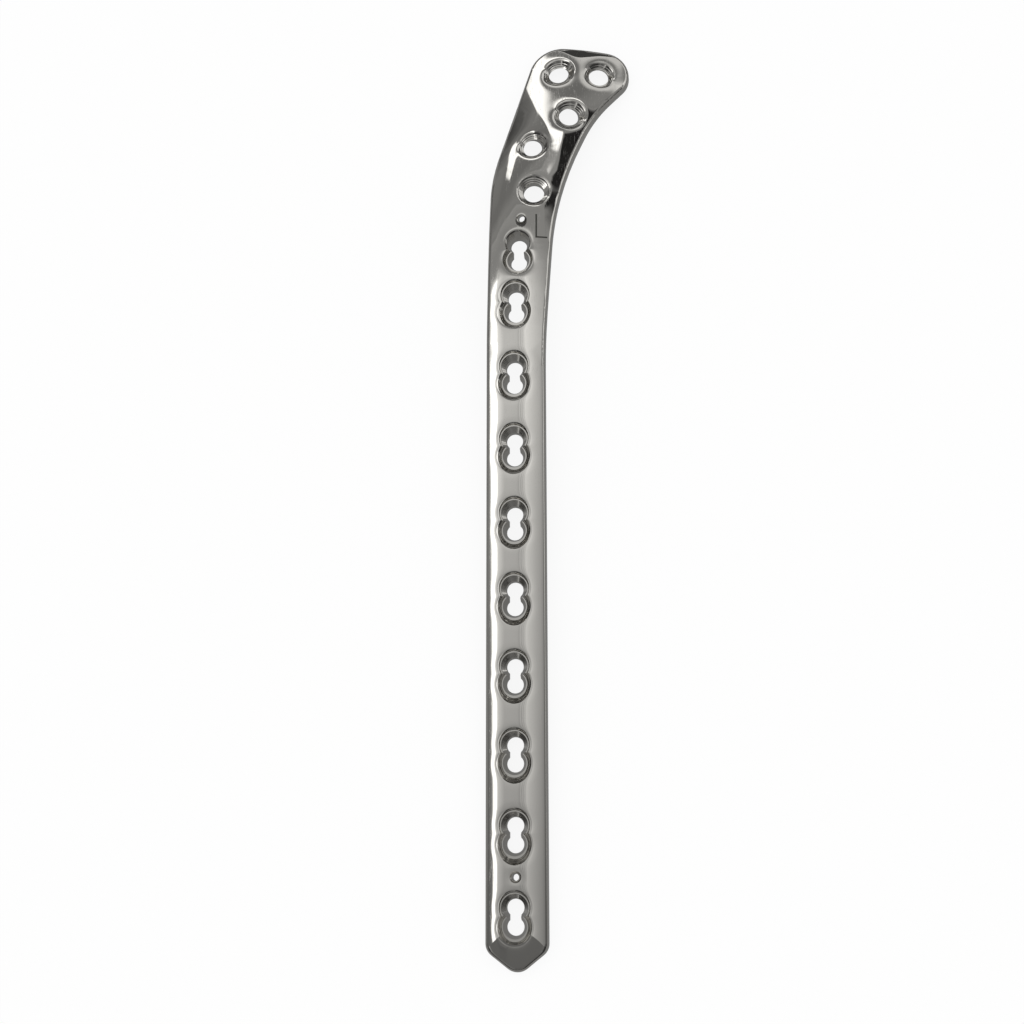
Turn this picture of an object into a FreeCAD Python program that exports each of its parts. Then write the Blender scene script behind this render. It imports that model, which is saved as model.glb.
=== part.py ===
import FreeCAD, Part
import Sketcher
import math
import os

# Left lateral bone plate: one milled piece of steel. A straight cambered shaft with
# combination holes widens into a thin J-shaped head that bends down towards the bone.
# X runs across the plate, Y along the shaft towards the head, Z up from the bone side.
# The drawing frame has its origin at the centre of the end hole, on the shaft's
# underside. The head is drawn from a datum line across the neck, where its bend starts.
# The finished body is tipped so that nose and head rest on one flat surface.

doc = FreeCAD.newDocument("bone_plate")
sheet = doc.addObject("Spreadsheet::Sheet", "Sizes")
V = FreeCAD.Vector
next_row = 1


def size(name, value):
    """Put one driving dimension in the sheet under its own name."""
    global next_row
    sheet.set("A%d" % next_row, name)
    sheet.set("B%d" % next_row, str(value))
    sheet.setAlias("B%d" % next_row, name)
    next_row += 1


# Shaft
size("shaft_thickness", 4.3)
size("shaft_half_width", 7.05)
size("shaft_crown_radius", 20)
size("shaft_under_radius", 60)
size("blank_margin", 2.4)
size("blank_start", -20)

# Bend of the head towards the bone, from the datum line across the neck
size("neck_gap", 8)
size("bend_radius", 260)
size("section_pitch", 10)

# Edges of the plate
size("top_edge_radius", 1.2)
size("under_edge_radius", 0.4)

# Nose at the shaft's end
size("nose_shoulder_y", -6.8)
size("nose_apex_y", -12.4)
size("nose_radius", 3.5)
size("nose_shoulder_radius", 3.2)
size("ramp_start_y", -2.4)
size("ramp_end_height", 1.55)

# Combination holes of the shaft: an upper lobe with a stepped rim and a longer lower lobe
size("hole_pitch", 18)
size("hole_row_x", -0.4)
size("hole_count", 9)
size("last_hole_x", 0)
size("upper_lobe_y", 2.5)
size("upper_mouth_radius", 3.9)
size("upper_wall_radius", 3.6)
size("upper_wall_depth", 0.25)
size("upper_step_radius", 3.3)
size("upper_step_depth", 0.75)
size("upper_seat_radius", 3.05)
size("upper_through_radius", 1.95)
size("lower_lobe_y", -1.65)
size("lower_mouth_radius", 4.2)
size("lower_mouth_tail", 0.8)
size("lower_step_radius", 2.95)
size("lower_step_tail", 0.5)
size("lower_step_depth", 1.4)
size("lower_seat_radius", 2.7)
size("lower_tail_taper", 0.35)
size("lower_through_radius", 1.95)
size("slot_half_width", 1.3)
size("through_land", 0.9)

# Combination hole of the neck, shorter than the others and with a plain upper lobe
size("neck_hole_gap", 13.4)
size("neck_hole_x", 0.7)
size("neck_upper_lobe_y", 2.6)
size("neck_upper_mouth_radius", 3.6)
size("neck_upper_seat_radius", 2.85)
size("neck_lower_lobe_y", -1.75)
size("neck_lower_mouth_radius", 3.95)
size("neck_lower_tail", 0.3)

# Wire holes
size("wire_hole_radius", 0.8)
size("wire_rim_radius", 1.35)
size("wire_rim_depth", 0.55)
size("shaft_wire_x", -0.15)
size("shaft_wire_y", 9.1)
size("neck_wire_x", 1.5)
size("neck_wire_run", 14.3)
size("neck_wire_lean", 18)

# Locking holes of the head, all with one form
size("lock_core_radius", 2.55)
size("lock_land", 1.45)
size("lock_rim_radius", 0.6)

# Each locking hole: across, run from the datum line, the lean of its axis in degrees
# across and along, and the radius of its mouth
locking_holes = {
    "outer_tip": (10.45, 56.6, 3, 12, 4.15),
    "inner_tip": (20.85, 55.5, 9, 8, 3.85),
    "middle": (13.45, 43.5, 13, 11, 4.25),
    "side": (4.2, 35.1, 9, 4, 3.85),
    "base": (4.5, 22.1, 3, 2, 4.1),
}
for hole, numbers in locking_holes.items():
    for field, number in zip(("x", "run", "lean_x", "lean_y", "mouth"), numbers):
        size("%s_hole_%s" % (hole, field), number)

# Corners of the head's outline seen from above, in order from the inner neck round the
# tip to the outer neck: across, run from the datum line, and the radius that rounds it
head_corners = {
    "inner_neck": (7.05, -16.3, 200),
    "inner_throat": (9.3, 14.7, 80),
    "inner_bend": (12.95, 29, 90),
    "inner_cheek": (19.35, 43.5, 40),
    "inner_tip": (33.9, 60.3, 6.4),
    "outer_tip": (5.1, 65.6, 8),
    "outer_bend": (-6.3, 26.8, 45),
    "outer_neck": (-7.05, -15, 300),
}
for corner, numbers in head_corners.items():
    for field, number in zip(("x", "run", "radius"), numbers):
        size("%s_%s" % (corner, field), number)

# Cross sections of the head's blank, one section pitch apart: the ridge of the crown and
# the blank's two edges across, the crown's radii outside and inside of the ridge, the
# underside's radii, and the thickness at the ridge
head_sections = {
    "neck": (0.6, -9.4, 10.2, 20, 20, 55, 55, 4.15),
    "throat": (2.2, -9.0, 12.0, 20, 20, 45, 45, 3.9),
    "root": (5.0, -7.8, 15.4, 22, 21, 34, 34, 3.6),
    "cheek": (9.0, -5.4, 20.4, 27, 24, 30, 30, 3.35),
    "palm": (12.6, -2.6, 26, 34, 31, 34, 36, 3.2),
    "brow": (15.0, 0.2, 30.5, 46, 42, 44, 46, 3.2),
    "tip": (16.0, 3.0, 34, 52, 48, 50, 50, 3.2),
}
section_fields = ("ridge", "outer", "inner", "crown_outer", "crown_inner",
                  "under_outer", "under_inner", "thick")
for section, numbers in head_sections.items():
    for field, number in zip(section_fields, numbers):
        size("%s_%s" % (section, field), number)

doc.recompute()

datum = "((Sizes.hole_count - 1) * Sizes.hole_pitch + Sizes.neck_gap)"
crown_height = "Sizes.shaft_thickness"


def evaluate(expression):
    """Work out an expression over the sheet's names."""
    return float(sheet.evalExpression(expression.replace("Sizes.", "")))


def origin_feature(body, role):
    """Find one of the body's own origin planes or axes."""
    return [f for f in body.Origin.OriginFeatures if f.Role == role][0]


def new_sketch(body, label, role):
    """Start a sketch on one of the body's origin planes."""
    sketch = body.newObject("Sketcher::SketchObject", label)
    sketch.AttachmentSupport = [(origin_feature(body, role), "")]
    sketch.MapMode = "FlatFace"
    return sketch


def place(sketch, x, y, z, yaw="0", pitch="0", roll="0"):
    """Tie a sketch's place and turn on its plane to the sheet."""
    text = "placement(vector(%s; %s; %s); rotation(%s; %s; %s))"
    sketch.setExpression("AttachmentOffset", text % (x, y, z, yaw, pitch, roll))


def dimension(sketch, expression, *constraint):
    """Add a constraint and tie its value to the sheet."""
    value = evaluate(expression)
    index = sketch.addConstraint(Sketcher.Constraint(*constraint, value))
    sketch.setExpression("Constraints[%d]" % index, expression)


def join(sketch, kind, first, first_point, second, second_point):
    """Join two edges at their ends."""
    sketch.addConstraint(Sketcher.Constraint(kind, first, first_point, second, second_point))


def arc(centre, radius, start, end):
    """Arc of a circle from one point to another, turning left."""
    angles = [math.atan2(p.y - centre.y, p.x - centre.x) for p in (start, end)]
    circle = Part.Circle(centre, V(0, 0, 1), radius)
    return Part.ArcOfCircle(circle, angles[0], angles[1])


def rounded_outline(sketch, corners):
    """Closed outline of straight edges whose corners are rounded by tangent arcs. Each
    corner is given by three expressions, across, along and radius, turning left overall."""
    points = [V(evaluate(x), evaluate(y), 0) for x, y, _ in corners]
    count = len(points)
    rounds = []
    for i, point in enumerate(points):
        radius = evaluate(corners[i][2])
        back = (points[i - 1] - point).normalize()
        ahead = (points[(i + 1) % count] - point).normalize()
        half_angle = back.getAngle(ahead) / 2
        reach = radius / math.tan(half_angle)
        centre = point + (back + ahead).normalize() * (radius / math.sin(half_angle))
        turns_left = (ahead.x * back.y - ahead.y * back.x) > 0
        rounds.append((centre, radius, point + back * reach, point + ahead * reach, turns_left))
    for i in range(count):
        line = Part.LineSegment(rounds[i][3], rounds[(i + 1) % count][2])
        sketch.addGeometry(line, False)
    for centre, radius, start, end, turns_left in rounds:
        ends = (start, end) if turns_left else (end, start)
        sketch.addGeometry(arc(centre, radius, *ends), False)
    for i, point in enumerate(points):
        sketch.addGeometry(Part.Point(point), True)
        first, last = (1, 2) if rounds[i][4] else (2, 1)
        join(sketch, "Tangent", (i - 1) % count, 2, count + i, first)
        join(sketch, "Tangent", count + i, last, i, 1)
    for i, (x, y, radius) in enumerate(corners):
        corner_point = 2 * count + i
        dimension(sketch, x, "DistanceX", -1, 1, corner_point, 1)
        dimension(sketch, y, "DistanceY", -1, 1, corner_point, 1)
        for line in ((i - 1) % count, i):
            on_line = Sketcher.Constraint("PointOnObject", corner_point, 1, line)
            sketch.addConstraint(on_line)
        dimension(sketch, radius, "Radius", count + i)


def chain(sketch, corners):
    """Closed profile of straight edges, each corner given as a pair of expressions."""
    points = [V(evaluate(x), evaluate(y), 0) for x, y in corners]
    count = len(points)
    for i in range(count):
        sketch.addGeometry(Part.LineSegment(points[i], points[(i + 1) % count]), False)
    for i, (x, y) in enumerate(corners):
        join(sketch, "Coincident", i - 1 if i else count - 1, 2, i, 1)
        for text, kind, axis in ((x, "DistanceX", -2), (y, "DistanceY", -1)):
            if text == "0":
                sketch.addConstraint(Sketcher.Constraint("PointOnObject", i, 1, axis))
            else:
                dimension(sketch, text, kind, -1, 1, i, 1)


def cross_section(body, label, along, ridge, top, reaches, crowns, unders, thick):
    """Section across the plate: two crown arcs and two underside arcs that meet level at
    the ridge, and two upright sides. Each pair is given outer side first."""
    sketch = new_sketch(body, label, "XZ_Plane")
    place(sketch, ridge, top, "-(%s)" % along)
    outer, inner = [evaluate(text) for text in reaches]
    crown = [evaluate(text) for text in crowns]
    under = [evaluate(text) for text in unders]
    depth = evaluate(thick)

    def sag(radius, reach):
        return radius - math.sqrt(radius ** 2 - reach ** 2)

    ridge_top, ridge_under = V(0, 0, 0), V(0, -depth, 0)
    inner_top = V(inner, -sag(crown[1], inner), 0)
    outer_top = V(-outer, -sag(crown[0], outer), 0)
    inner_under = V(inner, -depth - sag(under[1], inner), 0)
    outer_under = V(-outer, -depth - sag(under[0], outer), 0)
    edges = (
        arc(V(0, -crown[1], 0), crown[1], inner_top, ridge_top),
        arc(V(0, -crown[0], 0), crown[0], ridge_top, outer_top),
        Part.LineSegment(outer_top, outer_under),
        arc(V(0, -depth - under[0], 0), under[0], ridge_under, outer_under),
        arc(V(0, -depth - under[1], 0), under[1], inner_under, ridge_under),
        Part.LineSegment(inner_under, inner_top),
    )
    for edge in edges:
        sketch.addGeometry(edge, False)
    for ends in ((0, 2, 1, 1), (1, 2, 2, 1), (2, 2, 3, 2), (3, 1, 4, 2), (4, 1, 5, 1),
                 (5, 2, 0, 1), (0, 2, -1, 1)):
        join(sketch, "Coincident", *ends)
    for curve in (0, 1, 3, 4):
        sketch.addConstraint(Sketcher.Constraint("PointOnObject", curve, 3, -2))
    sketch.addConstraint(Sketcher.Constraint("PointOnObject", 3, 1, -2))
    for side in (2, 5):
        sketch.addConstraint(Sketcher.Constraint("Vertical", side))
    dimension(sketch, crowns[1], "Radius", 0)
    dimension(sketch, crowns[0], "Radius", 1)
    dimension(sketch, unders[0], "Radius", 3)
    dimension(sketch, unders[1], "Radius", 4)
    dimension(sketch, reaches[1], "DistanceX", -1, 1, 5, 1)
    dimension(sketch, reaches[0], "DistanceX", 2, 1, -1, 1)
    dimension(sketch, thick, "DistanceY", 3, 1, -1, 1)
    return sketch


def shaft_section(body, label, along):
    """Section of the straight shaft, with some width to spare on both sides."""
    reach = "Sizes.shaft_half_width + Sizes.blank_margin"
    crown = "Sizes.shaft_crown_radius"
    under = "Sizes.shaft_under_radius"
    return cross_section(body, label, along, "0", crown_height, (reach, reach),
                         (crown, crown), (under, under), "Sizes.shaft_thickness")


def head_section(body, name, steps):
    """Section of the head, lowered along the bend's arc."""
    cell = "Sizes.%s_" % name
    run = "%d * Sizes.section_pitch" % steps
    lift = "sqrt(Sizes.bend_radius^2 - (%s)^2) - Sizes.bend_radius" % run
    reaches = ("{0}ridge - {0}outer".format(cell), "{0}inner - {0}ridge".format(cell))
    return cross_section(body, name + "_section", "%s + %s" % (datum, run), cell + "ridge",
                         "%s + %sthick" % (lift, cell), reaches,
                         (cell + "crown_outer", cell + "crown_inner"),
                         (cell + "under_outer", cell + "under_inner"), cell + "thick")


def check_cut(feature, before, sign):
    """Recompute a feature and make sure that it took metal away, or added it."""
    doc.recompute()
    change = (feature.Shape.Volume - before) * sign
    if change <= 0:
        raise RuntimeError(feature.Label + " changes nothing")
    print("%-24s volume %.1f" % (feature.Label, feature.Shape.Volume))


# Blank: a straight shaft, then a loft round the head's bend
plate = doc.addObject("PartDesign::Body", "bone_plate")
lead = "2 * Sizes.section_pitch"
shaft_profile = shaft_section(plate, "shaft_section", "Sizes.blank_start")
shaft = plate.newObject("PartDesign::Pad", "shaft")
shaft.Profile = shaft_profile
shaft.Reversed = True
shaft.setExpression("Length", "%s - %s - Sizes.blank_start" % (datum, lead))
check_cut(shaft, 0, 1)

sections = []
for steps, name in enumerate(("lead_section", "straight_section", "datum_section"), -2):
    along = "%s + %d * Sizes.section_pitch" % (datum, steps)
    sections.append(shaft_section(plate, name, along))
for steps, name in enumerate(head_sections, 1):
    sections.append(head_section(plate, name, steps))
doc.recompute()
head = plate.newObject("PartDesign::AdditiveLoft", "head")
head.Profile = sections[0]
head.Sections = sections[1:]
check_cut(head, shaft.Shape.Volume, 1)

# Outline seen from above, padded to a prism that trims the blank
outline = doc.addObject("PartDesign::Body", "outline_prism")
half_width = "Sizes.shaft_half_width"
shoulder = (half_width, "Sizes.nose_shoulder_y", "Sizes.nose_shoulder_radius")
corners = [("0", "Sizes.nose_apex_y", "Sizes.nose_radius"), shoulder]
for corner in head_corners:
    cell = "Sizes.%s_" % corner
    corners.append((cell + "x", "%s + %srun" % (datum, cell), cell + "radius"))
corners.append(("-" + half_width,) + shoulder[1:])



def outline_pad(body, label):
    """Upright prism over the plate's outline."""
    sketch = new_sketch(body, label + "_sketch", "XY_Plane")
    rounded_outline(sketch, corners)
    prism = body.newObject("PartDesign::Pad", label)
    prism.Profile = sketch
    prism.SideType = "Symmetric"
    prism.setExpression("Length", "Sizes.section_pitch * 8")
    check_cut(prism, 0, 1)
    return prism


outline_pad(outline, "outline")
trim = plate.newObject("PartDesign::Boolean", "outline_trim")
trim.Type = "Common"
trim.setObjects([outline])
check_cut(trim, head.Shape.Volume, -1)

def normal_at_middle(face, edge):
    """Outward normal of a face beside the middle of one of its edges."""
    first, last = edge.ParameterRange
    u, v = face.Surface.parameter(edge.valueAt((first + last) / 2))
    return face.normalAt(u, v)


def contour_edges(shape, upward):
    """Names of the edges where the upright walls meet the top, or the underside."""
    names = []
    for i, edge in enumerate(shape.Edges, 1):
        faces = shape.ancestorsOfType(edge, Part.Face)
        heights = sorted(normal_at_middle(face, edge).z * upward for face in faces)
        if len(heights) == 2 and abs(heights[0]) < 0.2 and heights[1] > 0.5:
            names.append("Edge%d" % i)
    return names


def round_contour(label, base, upward, radius):
    """Round the plate's whole top or bottom contour."""
    feature = plate.newObject("PartDesign::Fillet", label)
    feature.Base = (base, contour_edges(base.Shape, upward))
    feature.setExpression("Radius", radius)
    check_cut(feature, base.Shape.Volume, -1)
    return feature


top_round = round_contour("top_round", trim, 1, "Sizes.top_edge_radius")
under_round = round_contour("under_round", top_round, -1, "Sizes.under_edge_radius")

# Ramp that thins the nose: a second prism, cut above a straight slope and rounded along
# the slope's rim, trims the plate
nose = doc.addObject("PartDesign::Body", "nose_prism")
nose_pad = outline_pad(nose, "nose")
ramp_sketch = new_sketch(nose, "ramp_sketch", "YZ_Plane")
slope = "(Sizes.shaft_thickness - Sizes.ramp_end_height) / (Sizes.ramp_start_y - Sizes.nose_apex_y)"
far_y, over_z = "2 * Sizes.nose_apex_y", "5 * Sizes.section_pitch"
chain(ramp_sketch, (
    ("Sizes.ramp_start_y", crown_height), ("Sizes.ramp_start_y", over_z), (far_y, over_z),
    (far_y, "%s - (Sizes.ramp_start_y - %s) * %s" % (crown_height, far_y, slope))))
ramp = nose.newObject("PartDesign::Pocket", "ramp")
ramp.Profile = ramp_sketch
ramp.SideType = "Symmetric"
ramp.setExpression("Length", "4 * " + half_width)
check_cut(ramp, nose_pad.Shape.Volume, -1)

rim = contour_edges(ramp.Shape, 1)
ramp_rim = nose.newObject("PartDesign::Fillet", "ramp_rim")
nose_ramp_edges = [name for name in rim if ramp.Shape.getElement(name).BoundBox.ZMax < 4.4]
ramp_rim.Base = (ramp, nose_ramp_edges)
ramp_rim.setExpression("Radius", "Sizes.top_edge_radius")
check_cut(ramp_rim, ramp.Shape.Volume, -1)


def combine(label, kind, bodies, sign):
    """Join the plate with other bodies: keep the common part or cut them out."""
    before = plate.Tip.Shape.Volume
    feature = plate.newObject("PartDesign::Boolean", label)
    feature.Type = kind
    feature.setObjects(bodies)
    check_cut(feature, before, sign)
    return feature


nose_trim = combine("nose_trim", "Common", [nose], -1)


def turned(body, label, x, y, z, corners, lean_x="0", lean_y="0"):
    """Turn a profile of radii and heights about an axis that stands on the plate."""
    sketch = new_sketch(body, label + "_sketch", "XZ_Plane")
    place(sketch, x, z, "-(%s)" % y, "-(%s)" % lean_x, "0", lean_y)
    doc.recompute()
    chain(sketch, corners)
    form = body.newObject("PartDesign::Revolution", label)
    form.Profile = sketch
    form.ReferenceAxis = (sketch, ["V_Axis"])
    form.Angle = 360
    check_cut(form, 0, 1)
    return form


def egg(body, label, x, y, z, radius, tail):
    """Egg-shaped outline: a circle and a smaller one below it, joined by tangents."""
    sketch = new_sketch(body, label, "XY_Plane")
    place(sketch, x, y, z)
    doc.recompute()
    wide, run = evaluate(radius), evaluate(tail)
    slope = evaluate("Sizes.lower_tail_taper")
    narrow = wide - slope * run
    level = math.sqrt(1 - slope ** 2)
    centre, tail_centre = V(0, 0, 0), V(0, -run, 0)
    sides = {}
    for side in (1, -1):
        normal = V(side * level, -slope, 0)
        sides[side] = (normal * wide, tail_centre + normal * narrow)
    for edge in (arc(centre, wide, sides[1][0], sides[-1][0]),
                 Part.LineSegment(sides[-1][0], sides[-1][1]),
                 arc(tail_centre, narrow, sides[-1][1], sides[1][1]),
                 Part.LineSegment(sides[1][1], sides[1][0])):
        sketch.addGeometry(edge, False)
    for ends in ((0, 2, 1, 1), (1, 2, 2, 1), (2, 2, 3, 1), (3, 2, 0, 1)):
        join(sketch, "Tangent", *ends)
    join(sketch, "Coincident", 0, 3, -1, 1)
    sketch.addConstraint(Sketcher.Constraint("PointOnObject", 2, 3, -2))
    dimension(sketch, radius, "Radius", 0)
    dimension(sketch, "%s - Sizes.lower_tail_taper * (%s)" % (radius, tail), "Radius", 2)
    dimension(sketch, tail, "DistanceY", 2, 3, -1, 1)
    return sketch


def combination_form(label, x, y, sizes):
    """The space of one hole of two lobes: a turned upper lobe, an egg-shaped funnel and
    a turned seat for the lower lobe, and the slot that joins their through openings."""
    body = doc.addObject("PartDesign::Body", label)
    upper_y = "%s + %s" % (y, sizes["upper_y"])
    lower_y = "%s + %s" % (y, sizes["lower_y"])
    below = "-(Sizes.shaft_thickness + 2)"
    land = "-(Sizes.shaft_thickness - Sizes.through_land)"
    upper = turned(body, label + "_upper", x, upper_y, crown_height,
                   sizes["profile"](below, land))

    step = "Sizes.lower_step_depth"
    mouth, tail = sizes["mouth"], sizes["tail"]
    grow = "(%s) + 0.5 * (%s - %s) / " + step
    top = egg(body, label + "_mouth", x, lower_y, crown_height + " + 0.5",
              grow % (mouth, mouth, "Sizes.lower_step_radius"),
              grow % (tail, tail, sizes["step_tail"]))
    ledge = egg(body, label + "_ledge", x, lower_y, "%s - %s" % (crown_height, step),
                "Sizes.lower_step_radius", sizes["step_tail"])
    funnel = body.newObject("PartDesign::AdditiveLoft", label + "_funnel")
    funnel.Profile = top
    funnel.Sections = [ledge]
    funnel.Ruled = True
    check_cut(funnel, upper.Shape.Volume, 1)
    seat = turned(body, label + "_seat", x, lower_y, crown_height, (
        ("0", "0"), ("Sizes.lower_seat_radius", "0"),
        ("Sizes.lower_seat_radius", "-(%s)" % step),
        ("Sizes.lower_through_radius", land), ("Sizes.lower_through_radius", below),
        ("0", below)))

    slot_sketch = new_sketch(body, label + "_slot_sketch", "XY_Plane")
    place(slot_sketch, x, y, crown_height)
    doc.recompute()
    half = "Sizes.slot_half_width"
    chain(slot_sketch, (("-" + half, sizes["lower_y"]), (half, sizes["lower_y"]),
                        (half, sizes["upper_y"]), ("-" + half, sizes["upper_y"])))
    slot = body.newObject("PartDesign::Pad", label + "_slot")
    slot.Profile = slot_sketch
    slot.Reversed = True
    slot.setExpression("Length", "Sizes.shaft_thickness + 2")
    check_cut(slot, seat.Shape.Volume, 1)
    return body, [upper, funnel, seat, slot]


def stepped_lobe(below, land):
    """Profile of the shaft holes' upper lobe: flared rim, wall, ledge, cone, opening."""
    flare = ("Sizes.upper_mouth_radius + (Sizes.upper_mouth_radius - Sizes.upper_wall_radius)"
             " / Sizes.upper_wall_depth")
    return (("0", "1"), (flare, "1"), ("Sizes.upper_wall_radius", "-Sizes.upper_wall_depth"),
            ("Sizes.upper_step_radius", "-Sizes.upper_step_depth"),
            ("Sizes.upper_seat_radius", "-Sizes.upper_step_depth"),
            ("Sizes.upper_through_radius", land), ("Sizes.upper_through_radius", below),
            ("0", below))


def plain_lobe(below, land):
    """Profile of the neck hole's upper lobe: one cone and the through opening."""
    flare = "Sizes.neck_upper_mouth_radius + (Sizes.neck_upper_mouth_radius"
    flare += " - Sizes.neck_upper_seat_radius) / Sizes.upper_step_depth"
    return (("0", "1"), (flare, "1"),
            ("Sizes.neck_upper_seat_radius", "-Sizes.upper_step_depth"),
            ("Sizes.upper_through_radius", land), ("Sizes.upper_through_radius", below),
            ("0", below))


shaft_hole = {
    "upper_y": "Sizes.upper_lobe_y", "lower_y": "Sizes.lower_lobe_y", "profile": stepped_lobe,
    "mouth": "Sizes.lower_mouth_radius", "tail": "Sizes.lower_mouth_tail",
    "step_tail": "Sizes.lower_step_tail",
}
neck_hole = {
    "upper_y": "Sizes.neck_upper_lobe_y", "lower_y": "Sizes.neck_lower_lobe_y",
    "profile": plain_lobe, "mouth": "Sizes.neck_lower_mouth_radius",
    "tail": "Sizes.neck_lower_tail", "step_tail": "0.5 * Sizes.neck_lower_tail",
}

# Holes of the shaft, one pitch apart from the end hole on
row_body, end_hole = combination_form("shaft_holes", "Sizes.hole_row_x", "0", shaft_hole)
row = row_body.newObject("PartDesign::LinearPattern", "hole_row")
row.Originals = end_hole
row.Direction = (origin_feature(row_body, "Y_Axis"), [""])
row.Mode = "Spacing"
row.setExpression("Offset", "Sizes.hole_pitch")
row.setExpression("Occurrences", "Sizes.hole_count - 1")
row_body.Tip = row
check_cut(row, end_hole[-1].Shape.Volume, 1)

last_hole_y = "(Sizes.hole_count - 1) * Sizes.hole_pitch"
last_body, _ = combination_form("last_hole", "Sizes.last_hole_x", last_hole_y, shaft_hole)
neck_body, _ = combination_form("neck_hole", "Sizes.neck_hole_x",
                                last_hole_y + " + Sizes.neck_hole_gap", neck_hole)


def wall_at(x, y):
    """Height of the plate's top and its thickness on an upright line."""
    line = Part.makeLine(V(x, y, 60), V(x, y, -60))
    heights = [v.Point.z for v in nose_trim.Shape.common(line).Vertexes]
    return max(heights), max(heights) - min(heights)


def wire_form(label, x, y, lean="0"):
    """The space of a small through hole with a countersunk rim."""
    top, thick = wall_at(evaluate(x), evaluate(y))
    rim, bore = "Sizes.wire_rim_radius", "Sizes.wire_hole_radius"
    flare = "{0} + ({0} - {1}) / Sizes.wire_rim_depth".format(rim, bore)
    below = "-%.3f" % (thick + 2)
    body = doc.addObject("PartDesign::Body", label)
    turned(body, label + "_form", x, y, "%.4f" % top, (
        ("0", "1"), (flare, "1"), (bore, "-Sizes.wire_rim_depth"), (bore, below), ("0", below)),
        "0", lean)
    return body


def surface_lean(x, y):
    """Lean of the top surface's normal across and along, in degrees."""
    step = 0.5
    across = wall_at(x - step, y)[0] - wall_at(x + step, y)[0]
    along = wall_at(x, y + step)[0] - wall_at(x, y - step)[0]
    return [math.degrees(math.atan(rise / (2 * step))) for rise in (across, along)]


def locking_form(name):
    """The space of a locking hole: a mouth cone square to the surface and a leaned core."""
    cell = "Sizes.%s_hole_" % name
    x, y = cell + "x", "%s + %srun" % (datum, cell)
    top, thick = wall_at(evaluate(x), evaluate(y))
    depth = "(%.3f - Sizes.lock_land)" % thick
    mouth, core = cell + "mouth", "Sizes.lock_core_radius"
    flare = "{0} + 2 * ({0} - {1}) / {2}".format(mouth, core, depth)
    across, along = ["%.4f" % angle for angle in surface_lean(evaluate(x), evaluate(y))]
    body = doc.addObject("PartDesign::Body", name + "_hole")
    cone = turned(body, name + "_mouth", x, y, "%.4f" % top, (
        ("0", "2"), (flare, "2"), (core, "-" + depth), ("0", "-" + depth)), across, along)
    turned(body, name + "_core", x, y, "%.4f" % top, (
        ("0", "0"), (core, "0"), (core, "-%.3f" % (thick + 4)), ("0", "-%.3f" % (thick + 4))),
        cell + "lean_x", cell + "lean_y")
    axis = cone.Profile[0].Placement.Rotation.multVec(V(0, 1, 0))
    foot = V(evaluate(x), evaluate(y), top)
    return body, foot, axis


def rim_edges(shape, foot, axis):
    """Names of the edges where a cone about the given axis leaves the plate's top."""
    names = []
    for i, edge in enumerate(shape.Edges, 1):
        faces = shape.ancestorsOfType(edge, Part.Face)
        cones = [f for f in faces if f.Surface.TypeId == "Part::GeomCone"]
        if len(cones) != 1 or len(faces) != 2:
            continue
        apex = cones[0].Surface.Apex - foot
        on_axis = (apex - axis * apex.dot(axis)).Length < 0.01
        if on_axis and (edge.BoundBox.Center - foot).dot(axis) > -1:
            names.append("Edge%d" % i)
    return names


locks = [locking_form(name) for name in locking_holes]
lock_cut = combine("locking_holes", "Cut", [body for body, _, _ in locks], -1)
rims = []
for _, foot, axis in locks:
    rims += rim_edges(lock_cut.Shape, foot, axis)
lock_rims = plate.newObject("PartDesign::Fillet", "locking_rims")
lock_rims.Base = (lock_cut, rims)
lock_rims.setExpression("Radius", "Sizes.lock_rim_radius")
check_cut(lock_rims, lock_cut.Shape.Volume, -1)

wires = [wire_form("shaft_wire_hole", "Sizes.shaft_wire_x", "Sizes.shaft_wire_y"),
         wire_form("neck_wire_hole", "Sizes.neck_wire_x", datum + " + Sizes.neck_wire_run",
                   "Sizes.neck_wire_lean")]
combine("shaft_cut", "Cut", [row_body, last_body, neck_body] + wires, -1)

# Resting place: the plate is tipped about X until the nose and the head's end touch one
# flat surface, then its box is centred on the origin with its bottom at zero
points = [V(*p) for p in plate.Tip.Shape.tessellate(0.02)[0]]
middle_y = plate.Tip.Shape.BoundBox.Center.y


def lowest(points, tip):
    """Lowest height of each half, nose side first, once tipped by an angle."""
    heights = [(p.y * math.sin(tip) + p.z * math.cos(tip), p.y) for p in points]
    return (min(z for z, y in heights if y < middle_y), min(z for z, y in heights if y > middle_y))


low, high = 0.0, math.radians(15)
for _ in range(40):
    tip = (low + high) / 2
    nose_low, head_low = lowest(points, tip)
    low, high = (tip, high) if head_low < nose_low else (low, tip)
rotation = FreeCAD.Rotation(V(1, 0, 0), math.degrees(tip))
plate.Placement = FreeCAD.Placement(V(0, 0, 0), rotation)
doc.recompute()
box = plate.Shape.optimalBoundingBox(False)
shift = V(-box.Center.x, -box.Center.y, -box.ZMin)
plate.Placement = FreeCAD.Placement(shift, rotation)
doc.recompute()

for thing in doc.Objects:
    if any(word in thing.State for word in ("Invalid", "Error")):
        raise RuntimeError(thing.Label + " didn't recompute")
    shape = getattr(thing, "Shape", None)
    if shape is not None and (shape.isNull() or not shape.isValid()):
        raise RuntimeError(thing.Label + " has no sound shape")
if len(plate.Shape.Solids) != 1:
    raise RuntimeError("the plate isn't one solid")

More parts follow.
